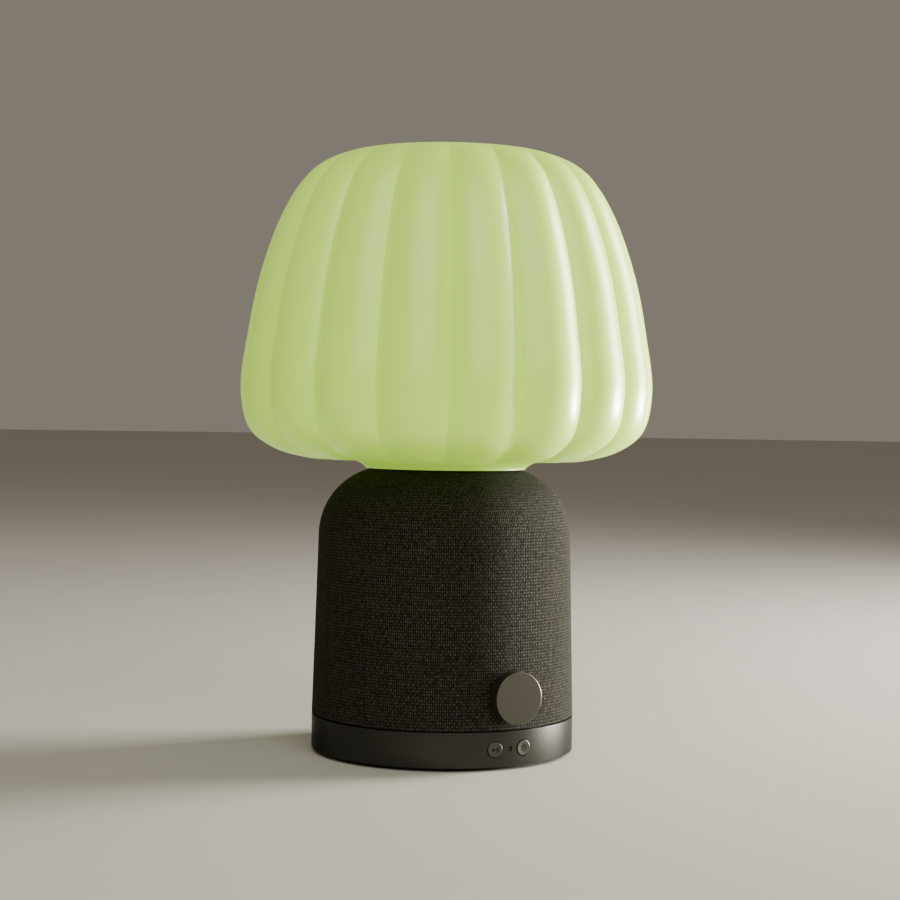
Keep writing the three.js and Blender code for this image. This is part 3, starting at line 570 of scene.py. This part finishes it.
def smoked_lens():
    """A dark translucent lens over the status light."""
    shader = Shader("smoked_lens", Transmission_Weight=0.1, Roughness=0.35)
    cloudy = shader.noise(shader.position(), 900.0)
    shader.feed("Base Color", shader.blend(cloudy, (0.008, 0.008, 0.007), (0.02, 0.02, 0.017)))
    return shader.material


def pressed_fibre():
    """A loudspeaker cone's pressed fibres."""
    shader = Shader("cone", Roughness=0.8)
    fibres = shader.noise(shader.position((1, 3, 1)), 700.0, 4.0, 0.7)
    shader.feed("Base Color", shader.blend(fibres, (0.012, 0.012, 0.011), (0.045, 0.044, 0.040)))
    shader.bump(fibres, 0.0001)
    return shader.material


def winding():
    """Fine enamelled copper wire, wound turn on turn along the coil's axis."""
    shader = Shader("copper", Metallic=0.9, Roughness=0.3, Coat_Weight=0.4)
    named = {"Vector": shader.position(), "Scale": 1100.0}
    turns = shader.node("TexWave", named=named, bands_direction="Y").outputs["Fac"]
    shader.feed("Base Color", shader.blend(turns, (0.30, 0.10, 0.04), (0.62, 0.28, 0.12)))
    shader.bump(turns, 0.0001)
    return shader.material


def inner_finishes():
    """Materials for the pieces that are carried over from the CAD, by their slot in the record."""
    return {
        "black_plastic": moulded(
            "black_plastic", (0.014, 0.014, 0.014), (0.026, 0.026, 0.025), 0.55, 1500.0, 0.00005
        ),
        "rubber": moulded("rubber", (0.004, 0.004, 0.004), (0.008, 0.008, 0.008), 0.8, 900.0, 0.00004),
        "wire": moulded("wire", (0.20, 0.020, 0.018), (0.30, 0.040, 0.035), 0.5, 600.0, 0.00003),
        "steel": plated("steel", (0.48, 0.49, 0.50), (0.62, 0.63, 0.64), 0.34),
        "brass": plated("brass", (0.60, 0.43, 0.17), (0.74, 0.57, 0.26), 0.32),
        "alloy": plated("alloy", (0.66, 0.67, 0.69), (0.80, 0.81, 0.83), 0.4),
        "magnet": plated("magnet", (0.035, 0.035, 0.04), (0.07, 0.07, 0.075), 0.55),
        "board": circuit_board("board", (0.02, 0.13, 0.06), (0.05, 0.22, 0.11)),
        "light_board": circuit_board("light_board", (0.80, 0.80, 0.77), (0.88, 0.88, 0.85)),
        "frosted": frosted(),
        "cone": pressed_fibre(),
        "copper": winding(),
    }


# ---------------------------------------------------------------- shade
def smoothstep(value, low, high):
    """A soft step from 0 at low to 1 at high."""
    share = np.clip((value - low) / (high - low), 0, 1)
    return share * share * (3 - 2 * share)


def rib_angles():
    """Bearings round the shade, closer together towards the creases between the ribs."""
    shares = np.array([0, 0.2, 0.39, 0.57, 0.73, 0.86, 0.945])
    half_pitch = TURN / SHADE["ribs"] / 2
    right = shares * half_pitch
    left = -shares[1:][::-1] * half_pitch
    one = np.concatenate([left, right, [half_pitch]])
    crest = math.radians(SHADE["crest"])
    return np.concatenate([one + crest + k * 2 * half_pitch for k in range(SHADE["ribs"])])


def shade_ring(radius, height, angles):
    """One level ring of the shade at a crest radius, pulled in at the creases."""
    fade = 1.0
    if height > SHADE["crown"]:
        fade = smoothstep(radius, SHADE["plain"], SHADE["crown_full"])
    if height < SHADE["under"]:
        fade = smoothstep(radius, SHADE["plain"], SHADE["under_full"])
    pitch = 360 / SHADE["ribs"]
    from_crest = np.degrees(angles) - SHADE["crest"]
    off = np.abs((from_crest + pitch / 2) % pitch - pitch / 2) / (pitch / 2)
    scale = 1 - SHADE["depth"] * fade * off ** SHADE["roundness"]
    return level_ring(radius * scale, angles, height)


def shade_glass():
    """The shade as one skin: down its inside, round the neck's lip and up its outside."""
    outer = smooth_line(SHADE_LINE, 118)
    places = [SHADE["neck"], SHADE["bend"], SHADE["bend_end"]]
    walls = np.interp(outer[:, 0], places, [SHADE["neck_wall"], SHADE["bend_wall"], SHADE["wall"]])
    walls[outer[:, 1] > SHADE["crown"]] = SHADE["wall"]
    inner = inset(outer, walls)
    inner[-1][0] = 0.0
    lip_radius = SHADE["neck_wall"] / 2
    lip_centre = (SHADE["neck"] - lip_radius, SHADE["neck_bottom"] + lip_radius)
    lip = arc(lip_centre, lip_radius, -180, 0, 8)
    profile = [*inner[::-2], *lip, *outer]
    angles = rib_angles()
    rings = [shade_ring(radius, height, angles) for radius, height in profile]
    return skin("glass_shade", rings, closed=False, sharp_angle=60)


# ---------------------------------------------------------------- cloth sleeve
def body_radius(z):
    """The body's radius at a height on its side, which narrows upwards."""
    share = (z - RING["top"]) / (BODY["shoulder_z"] - RING["top"])
    return RING["outer"] + (BODY["radius"] - RING["outer"]) * share


def cloth_line(inwards):
    """The sleeve's face moved inwards, from the ring up over the shoulder, as (radius, height)."""
    centre = BODY["radius"] - BODY["shoulder"]
    radius = BODY["shoulder"] - inwards
    last = math.degrees(math.acos((BODY["opening"] - centre) / radius))
    heights = np.linspace(BODY["hem_z"], BODY["shoulder_z"], 24)
    straight = [(body_radius(z) - inwards, z) for z in heights]
    return straight[:-1] + arc((centre, BODY["shoulder_z"]), radius, 0, last, 26)


def cloth_sleeve():
    """The sleeve, as thick as its cloth, with a butt seam at the rear and its weave's flat pattern."""
    rear = math.pi / 2
    near_seam = np.arange(-SEAM["reach"], SEAM["reach"] + 0.01, SEAM["step"]) / BODY["radius"]
    even = bearings(180)
    gap = np.abs((even - rear + math.pi) % TURN - math.pi)
    angles = np.sort(np.concatenate([even[gap > near_seam.max()], near_seam + rear]))
    outer, inner = cloth_line(0), cloth_line(BODY["cloth"])
    rings = []
    for index, (radius, height) in enumerate(outer + inner[::-1]):
        reach = np.full_like(angles, radius)
        if index < len(outer):
            off = (angles - rear) * radius
            welt = SEAM["welt_height"] * np.exp(-((off / SEAM["welt_width"]) ** 2))
            reach += welt - SEAM["groove_depth"] * np.exp(-((off / SEAM["groove_width"]) ** 2))
        rings.append(level_ring(reach, angles, height))
    sleeve = skin("cloth_cover", rings, closed=True, sharp_angle=50)
    inside, outside = 70, 90  # of the cloth, where the cut starts and ends
    hole = rod("hole", KNOB["hole"], inside, outside, 32, "front", KNOB["z"])
    carve(sleeve, [hole], sharp_angle=50)
    flat_pattern(sleeve)
    return sleeve


def flat_pattern(sleeve):
    """UVs in metres on the cloth: round the body across, and along the outline upwards."""
    centre = BODY["radius"] - BODY["shoulder"]
    layer = sleeve.data.uv_layers.new(name="weave")
    mesh = sleeve.data
    for face in mesh.polygons:
        middle = math.atan2(face.center.y, face.center.x)
        for corner in face.loop_indices:
            x, y, z = mesh.vertices[mesh.loops[corner].vertex_index].co / MM
            turn = math.atan2(y, x)
            turn += TURN * round((middle - turn) / TURN)
            lift = z
            if z > BODY["shoulder_z"]:
                rise = math.atan2(z - BODY["shoulder_z"], math.hypot(x, y) - centre)
                lift = BODY["shoulder_z"] + BODY["shoulder"] * rise
            layer.data[corner].uv = (turn * BODY["radius"] * MM, lift * MM)


# ---------------------------------------------------------------- foot and ring
def foot_pad():
    """The ring-shaped rubber foot, with a shallow groove round its underside."""
    middle = (FOOT["inner"] + FOOT["outer"]) / 2
    section = [
        (FOOT["inner"], 0.0),
        (middle - FOOT["groove"], 0.0),
        (middle - FOOT["groove_floor"], FOOT["groove_depth"]),
        (middle + FOOT["groove_floor"], FOOT["groove_depth"]),
        (middle + FOOT["groove"], 0.0),
        (FOOT["outer"], 0.0),
        (FOOT["outer"], FOOT["height"]),
        (FOOT["inner"], FOOT["height"]),
    ]
    return turned("rubber_foot", soften(section, FOOT["edge"]), 160)


def at_base_screw(index):
    """The move from the lamp's axis to one of the screws in the base plate."""
    angle = math.radians(BASE_SCREW["first"] + 360 / BASE_SCREW["count"] * index)
    spot = Vector((math.cos(angle), math.sin(angle), 0)) * BASE_SCREW["at"] * MM
    return Matrix.Translation(spot)


def base_plate():
    """The round plate that closes the underside, with a recess for each screw's head."""
    section = [
        (0, PLATE["bottom"]),
        (PLATE["radius"], PLATE["bottom"]),
        (PLATE["radius"], PLATE["top"]),
        (0, PLATE["top"]),
    ]
    plate = turned("bottom_plate", soften(section, PLATE["edge"]), 160)
    low, high = PLATE["bottom"] - CLEAR, PLATE["top"] + CLEAR
    tools = []
    for i in range(BASE_SCREW["count"]):
        tool = rod(f"recess_{i}", BASE_SCREW["recess"], low, high, 40)
        tools.append(placed(tool, at_base_screw(i)))
    return carve(plate, tools)


def base_screw(index):
    """A pan-head screw with a cross recess, head down in the base plate."""
    low, top, radius = BASE_SCREW["bottom"], BASE_SCREW["top"], BASE_SCREW["head"]
    shank, tip = BASE_SCREW["shank"], BASE_SCREW["tip"]
    straight, end = top + BASE_SCREW["straight"], top + BASE_SCREW["length"]
    section = [
        (0, low),
        (radius * 0.55, low + 0.05),
        (radius * 0.9, low + 0.6),
        (radius, low + 1.2),
        (radius, top),
        (shank, top),
        (shank, straight),
        (tip, end),
        (0, end),
    ]
    made = turned(f"plate_screw_{index + 1}", section, 40)
    wide, thick = BASE_SCREW["slot_reach"], BASE_SCREW["slot"]
    deep = (0, low + BASE_SCREW["slot_depth"])
    tools = []
    for turn in (0, 90):
        tool = rounded_box(f"slot_{turn}", (-wide, wide), (-thick, thick), deep, 0.2, along="z")
        tools.append(placed(tool, facing(turn + BASE_SCREW["twist"] * index)))
    carve(made, tools)
    return placed(made, at_base_screw(index))


def radial_tool(name, radius, angle):
    """A rod that cuts through the ring's wall at an angle in degrees from the front."""
    tool = rod(name, radius, RING["hole_start"], FAR, 56, "front", CONTROL_Z)
    return placed(tool, facing(angle))


def base_ring():
    """The metal ring with its ledge, broken edges, button holes, status hole and inlet window."""
    under_ledge = RING["top"] - RING["ledge_thickness"]
    section = [
        (RING["inner"], RING["bottom"]),
        (RING["outer"], RING["bottom"]),
        (RING["outer"], RING["top"]),
        (RING["ledge"], RING["top"]),
        (RING["ledge"], under_ledge),
        (RING["inner"], under_ledge),
    ]
    ring = turned("metal_ring", soften(section, RING["edge"]), 224)
    half, high = INLET["half"] + INLET["gap"], INLET["high"] + INLET["gap"]
    window = rounded_box(
        "window",
        (-half, half),
        (RING["window_start"], FAR),
        (CONTROL_Z - high, CONTROL_Z + high),
        INLET["corner"],
    )
    tools = [
        radial_tool("play_hole", BUTTON["hole"], -BUTTON["angle"]),
        radial_tool("mode_hole", BUTTON["hole"], BUTTON["angle"]),
        radial_tool("status_hole", STATUS["hole"], 0),
        window,
    ]
    return carve(ring, tools)


# ---------------------------------------------------------------- buttons and status light
def button_blank(name):
    """A button that faces -Y, with a broken rim and a slightly dished face."""
    face, radius = BUTTON["face"], BUTTON["radius"]
    section = [
        (0, BUTTON["stem_back"]),
        (BUTTON["stem"], BUTTON["stem_back"]),
        (BUTTON["stem"], BUTTON["flange_back"]),
        (BUTTON["flange"], BUTTON["flange_back"]),
        (BUTTON["flange"], BUTTON["flange_front"]),
        (radius, BUTTON["flange_front"]),
        (radius, face - 0.45),
        (radius - 0.12, face - 0.16),
        (radius - 0.45, face),
        (radius - 0.9, face - 0.06),
        (0, face - 0.16),
    ]
    return turned(name, section, 72, "front", CONTROL_Z)


def sunk(tool):
    """Stands a flat tool, made along Z, up in front of a button's face."""
    turn = Matrix.Rotation(math.radians(90), 4, "X")
    return placed(tool, Matrix.Translation((0, 0, CONTROL_Z * MM)) @ turn)


def play_button():
    """The left button, with a play and pause sign sunk into its face."""
    floor, ceiling = BUTTON["face"] - PLAY_SIGN["depth"], BUTTON["face"] + CLEAR
    left, tip, half = PLAY_SIGN["left"], PLAY_SIGN["tip"], PLAY_SIGN["half"]
    button = button_blank("play_key_cap")
    triangle = soften([(left, -half), (tip, 0), (left, half)], 0.25, keep_axis=False)
    tools = [prism("triangle", triangle, floor, ceiling)]
    for start in PLAY_SIGN["bars"]:
        bar = (start, start + PLAY_SIGN["bar"])
        tools.append(rounded_box(f"bar_{start}", bar, (-half, half), (floor, ceiling), 0.12, "z"))
    carve(button, [sunk(tool) for tool in tools])
    return placed(button, facing(-BUTTON["angle"]))


def mode_button():
    """The right button, with a dot and a ring of six more sunk into its face."""
    floor, ceiling = BUTTON["face"] - MODE_SIGN["depth"], BUTTON["face"] + CLEAR
    button = button_blank("mode_key_cap")
    spots = [(0.0, 0.0)] + arc((0, 0), MODE_SIGN["ring"], 30, 330, 5)
    tools = []
    for i, (x, z) in enumerate(spots):
        dot = rod(f"dot_{i}", MODE_SIGN["dot"], floor, ceiling, 24)
        tools.append(placed(dot, Matrix.Translation((x * MM, z * MM, 0))))
    carve(button, [sunk(tool) for tool in tools])
    return placed(button, facing(BUTTON["angle"]))


def in_button_sign(point):
    """Whether a point of a button is in its sunk sign and not on its face or rim."""
    depth = math.hypot(point.x, point.y)
    side = math.copysign(math.radians(BUTTON["angle"]), point.x)
    along = -point.y * math.cos(side) + point.x * math.sin(side)
    across = depth * math.sin(math.atan2(point.x, -point.y) - side)
    from_centre = math.hypot(across, point.z - CONTROL_Z)
    deepest, shallowest = BUTTON["face"] - 0.95, BUTTON["face"] - 0.18
    return from_centre < BUTTON["sign"] and deepest < along < shallowest


def status_light():
    """The light pipe's end, with a slightly domed tip."""
    radius, back = STATUS["radius"], STATUS["back"]
    section = [(0, back), (radius, back), (radius, STATUS["rim"]), (0.9, 79.55), (0, STATUS["tip"])]
    return turned("status_lens", section, 40, "front", CONTROL_Z)


# ---------------------------------------------------------------- knob
def knob_cap():
    """The cup-shaped knob with its hub and a cut edge round a very slightly domed face."""
    face, radius = KNOB["face"], KNOB["radius"]
    section = [
        (0, KNOB["bore_end"]),
        (KNOB["bore"], KNOB["bore_end"]),
        (KNOB["bore"], KNOB["hub_back"]),
        (KNOB["hub"], KNOB["hub_back"]),
        (KNOB["hub"], face - KNOB["front_wall"]),
        (radius - KNOB["wall"], face - KNOB["front_wall"]),
        (radius - KNOB["wall"], KNOB["back"]),
        (radius - KNOB["chamfer"], KNOB["back"]),
        (radius, KNOB["back"] + KNOB["chamfer"]),
        *[(radius - inwards, face - back) for inwards, back in KNOB_RIM],
        (0, face),
    ]
    return turned("knob_cup", section, 160, "front", KNOB["z"], sharp_angle=14)


def paint(piece, material, chosen):
    """Gives another material to the faces whose centre, in mm, is chosen."""
    piece.data.materials.append(material)
    for polygon in piece.data.polygons:
        if chosen(polygon.center / MM):
            polygon.material_index = 1


def on_knob_edge(point):
    """Whether a point of the knob is on its cut edge and not on its side or its face."""
    width, depth = 0.3, 0.26
    reach = math.hypot(point.x, point.z - KNOB["z"])
    return reach > KNOB["radius"] - width and -point.y > KNOB["face"] - depth


# ---------------------------------------------------------------- mains inlet
def mains_inlet():
    """A two-pin appliance inlet: a rounded block with a figure-eight socket and two pins."""
    front, floor = INLET["front"], INLET["front"] - INLET["depth"]
    block = rounded_box(
        "inlet_block",
        (-INLET["half"], INLET["half"]),
        (INLET["back"], front),
        (CONTROL_Z - INLET["high"], CONTROL_Z + INLET["high"]),
        INLET["corner"],
    )
    spacing = INLET["spacing"]
    waist = (CONTROL_Z - INLET["waist"], CONTROL_Z + INLET["waist"])
    tools = [rounded_box("waist", (-spacing, spacing), (floor, FAR), waist, 0.3)]
    for side in (-1, 1):
        well = rod(f"well_{side}", INLET["lobe"], floor, FAR, 48, "rear", CONTROL_Z)
        tools.append(placed(well, Matrix.Translation((side * spacing * MM, 0, 0))))
    return carve(block, tools)


def inlet_pins():
    """The inlet's two metal pins, with round ends, as one piece."""
    radius, back, tip = INLET["pin"], INLET["pin_back"], INLET["pin_tip"]
    section = [(0, back), (radius, back), (radius, tip - 0.8), (radius - 0.3, tip - 0.2), (0, tip)]
    pins = []
    for side in (-1, 1):
        pin = turned(f"pin_{side}", section, 28, "rear", CONTROL_Z)
        pins.append(placed(pin, Matrix.Translation((side * INLET["spacing"] * MM, 0, 0))))
    joined = bmesh.new()
    for pin in pins:
        joined.from_mesh(pin.data)
        bpy.data.objects.remove(pin)
    mesh = bpy.data.meshes.new("inlet_pins")
    joined.to_mesh(mesh)
    joined.free()
    return finished("inlet_pins", mesh)


# ---------------------------------------------------------------- stage, light and camera, in metres
FLOOR = {"radius": 20, "z": -0.0002, "sides": 96}
CAMERA = {
    "bearing": -29.65,  # degrees from -Y
    "distance": 1.149,
    "height": 0.2036,
    "lens": 74.9,
    "down": 1.01,  # degrees
    "aside": 0.132,  # degrees that the camera looks past the lamp's axis
    "roll": 0.8,  # degrees
}
# As (name, degrees from the camera, distance, height, (width, height), power, colour, height aimed at).
LIGHTS = [
    ("window", 110, 1.6, 0.5, (0.68, 1.5), 92, (1.0, 0.98, 0.93), 0.2),
    ("low_strip", 108, 1.2, 0.07, (0.38, 0.13), 36, (1.0, 0.98, 0.94), 0.12),
    ("front_fill", 10, 2.2, 1.9, (2.6, 2.6), 48, (1.0, 0.98, 0.94), 0.2),
]
ROOM = {"colour": (0.74, 0.66, 0.54, 1), "strength": 0.30}


def stage_floor():
    """A wide pale floor just under the lamp."""
    mesh = bpy.data.meshes.new("floor")
    radius, count = FLOOR["radius"], FLOOR["sides"]
    ring = [(radius * math.cos(a), radius * math.sin(a), FLOOR["z"]) for a in bearings(count)]
    mesh.from_pydata(ring, [], [tuple(range(count))])
    floor = bpy.data.objects.new("floor", mesh)
    bpy.context.scene.collection.objects.link(floor)
    shader = Shader("floor_paint", Roughness=0.6, Specular_IOR_Level=0.2)
    cloudy = shader.noise(shader.position(), 3.0)
    shader.feed("Base Color", shader.blend(cloudy, (0.55, 0.52, 0.47), (0.59, 0.56, 0.51)))
    mesh.materials.append(shader.material)


def area_light(name, bearing, distance, height, size, power, colour, aim):
    """A soft rectangular light at a bearing from -Y towards +X, aimed at a height on the axis."""
    data = bpy.data.lights.new(name, "AREA")
    data.shape = "RECTANGLE"
    data.size, data.size_y = size
    data.energy = power
    data.color = colour
    light = bpy.data.objects.new(name, data)
    turn = math.radians(bearing)
    light.location = (distance * math.sin(turn), -distance * math.cos(turn), height)
    light.rotation_euler = (Vector((0, 0, aim)) - light.location).to_track_quat("-Z", "Y").to_euler()
    bpy.context.scene.collection.objects.link(light)


def lights():
    """The lights, placed from the camera's bearing, in an even glow from the room."""
    for name, turn, *rest in LIGHTS:
        area_light(name, CAMERA["bearing"] + turn, *rest)
    world = bpy.data.worlds.new("studio")
    world.use_nodes = True
    background = world.node_tree.nodes["Background"].inputs
    background["Color"].default_value = ROOM["colour"]
    background["Strength"].default_value = ROOM["strength"]
    bpy.context.scene.world = world


def camera():
    """The camera, to the left of the lamp's front, looking slightly down and slightly rolled."""
    turn = math.radians(CAMERA["bearing"])
    out = Vector((math.sin(turn), -math.cos(turn), 0))
    data = bpy.data.cameras.new("camera")
    data.lens = CAMERA["lens"]
    data.clip_start, data.clip_end = 0.01, 100
    made = bpy.data.objects.new("camera", data)
    ahead = Matrix.Rotation(-math.radians(CAMERA["aside"]), 3, "Z") @ -out
    down = math.radians(CAMERA["down"])
    ahead = ahead * math.cos(down) - Vector((0, 0, math.sin(down)))
    level = ahead.cross(Vector((0, 0, 1))).normalized()
    upright = level.cross(ahead)
    roll = math.radians(CAMERA["roll"])
    right = level * math.cos(roll) + upright * math.sin(roll)
    up = upright * math.cos(roll) - level * math.sin(roll)
    place = Matrix((right, up, -ahead)).transposed().to_4x4()
    place.translation = out * CAMERA["distance"] + Vector((0, 0, CAMERA["height"]))
    made.matrix_world = place
    bpy.context.scene.collection.objects.link(made)
    bpy.context.scene.camera = made


# ---------------------------------------------------------------- the lamp
def main():
    """Dresses the CAD's pieces, puts the visible ones in place of theirs and sets the stage."""
    camera()
    finishes = inner_finishes()
    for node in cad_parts.values():
        slot = node.data.materials[0].name.split(".")[0]
        if slot in finishes:
            node.data.materials[0] = finishes[slot]

    ring_metal = anodised("ring_metal", (0.040, 0.040, 0.035), (0.053, 0.052, 0.045), 0.33, 1400.0, edge=0.30)
    knob_metal = anodised("knob_metal", (0.055, 0.053, 0.038), (0.070, 0.067, 0.049), 0.42, 1700.0)
    # Painted highlight: a lighter copy of the knob's metal for its cut edge.
    rim_highlight_metal = anodised("rim_highlight_metal", (0.082, 0.078, 0.063), (0.105, 0.101, 0.082), 0.36, 1700.0)
    key_metal = anodised("key_metal", (0.064, 0.063, 0.053), (0.082, 0.080, 0.067), 0.32, 1700.0)
    cloth = speaker_cloth()
    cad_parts["woofer_spider"].data.materials[0] = cloth

    dress(shade_glass(), opal_glass(), "shade", "glass", "shade_glass")
    sleeve = dress(cloth_sleeve(), cloth, "base", "cloth", "cloth_sleeve")

    dress(foot_pad(), finishes["rubber"], "base", "rubber", "foot_pad")
    dress(base_plate(), finishes["black_plastic"], "base", "black_plastic", "base_plate")
    for i in range(BASE_SCREW["count"]):
        dress(base_screw(i), finishes["steel"], "base", "steel", f"base_screw_{i + 1}")
    dress(base_ring(), ring_metal, "base", "ring", "base_ring")
    play = dress(play_button(), key_metal, "play_key", "ring", "play_button")
    mode = dress(mode_button(), key_metal, "mode_key", "ring", "mode_button")
    # The sunk signs on the buttons are coloured near black.
    sunk_sign_black = moulded("sunk_sign_black", (0.002, 0.002, 0.002), (0.005, 0.005, 0.004), 0.9, 1500.0, 0.00002)
    for button in (play, mode):
        paint(button, sunk_sign_black, in_button_sign)
    dress(status_light(), smoked_lens(), "base", "frosted", "status_light_pipe")
    cap = dress(knob_cap(), knob_metal, "knob", "knob", "knob_cap")
    # The knob's cut edge gets the lighter metal of the painted highlight.
    paint(cap, rim_highlight_metal, on_knob_edge)
    dress(mains_inlet(), finishes["black_plastic"], "base", "black_plastic", "mains_inlet")
    dress(inlet_pins(), finishes["steel"], "base", "steel")

    stage_floor()
    lights()


main()
